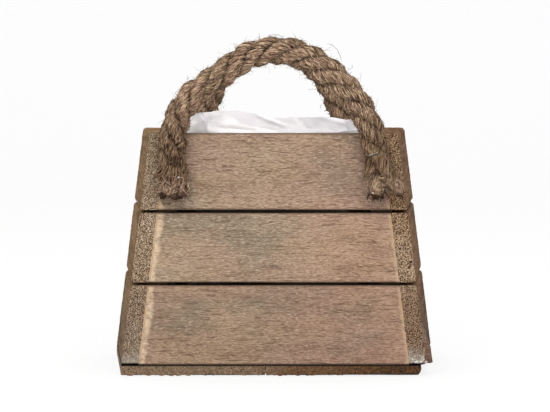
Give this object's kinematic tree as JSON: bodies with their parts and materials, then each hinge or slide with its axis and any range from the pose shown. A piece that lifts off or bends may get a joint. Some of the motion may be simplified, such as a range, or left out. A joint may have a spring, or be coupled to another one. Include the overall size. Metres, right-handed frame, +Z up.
{
  "type": "slatted wooden basket with rope handles",
  "caption": "Small slatted wooden garden basket with sloping sides, a plastic film liner and rope handles that fold out over the sides.",
  "frame": {"origin": "on the surface the basket stands on, under the middle of its base", "axes": "+Z up, -Y towards the front, +X to the right seen from the front"},
  "size_m": [0.2013, 0.1426, 0.2038],
  "materials": {
    "slat_wood": "weathered, planed, unvarnished",
    "base_wood": "rough sawn, unvarnished",
    "post_wood": "rough sawn, unvarnished",
    "rope": "three-strand natural fibre rope",
    "liner_film": "translucent thin film, crumpled",
    "staple_wire": "dull galvanised wire",
    "nail_steel": "dull steel"
  },
  "bodies": {
    "root": {"front_slat_bottom": "slat_wood", "back_slat_bottom": "slat_wood", "left_slat_bottom": "slat_wood", "right_slat_bottom": "slat_wood", "front_slat_middle": "slat_wood", "back_slat_middle": "slat_wood", "left_slat_middle": "slat_wood", "right_slat_middle": "slat_wood", "front_slat_top": "slat_wood", "back_slat_top": "slat_wood", "left_slat_top": "slat_wood", "right_slat_top": "slat_wood", "base_board_left": "base_wood", "base_board_right": "base_wood", "corner_post_front_left": "post_wood", "corner_post_front_right": "post_wood", "corner_post_back_left": "post_wood", "corner_post_back_right": "post_wood", "plastic_liner": "liner_film", "front_rope_left_end": "rope", "front_rope_right_end": "rope", "back_rope_left_end": "rope", "back_rope_right_end": "rope", "front_rope_staples": "staple_wire", "back_rope_staples": "staple_wire", "liner_staples": "staple_wire", "front_nails": "nail_steel", "back_nails": "nail_steel", "left_nails": "nail_steel", "right_nails": "nail_steel", "base_nails": "nail_steel"},
    "front_handle": {"front_rope_arch": "rope"},
    "back_handle": {"back_rope_arch": "rope"}
  },
  "joints": [
    {"name": "front_handle_hinge", "type": "hinge", "parent": "root", "child": "front_handle", "pos_m": [0, -0.0633, 0.1538], "axis": [1, 0, 0], "range_deg": [-50, 90]},
    {"name": "back_handle_hinge", "type": "hinge", "parent": "root", "child": "back_handle", "pos_m": [0, 0.0633, 0.1538], "axis": [-1, 0, 0], "range_deg": [-50, 90]}
  ]
}
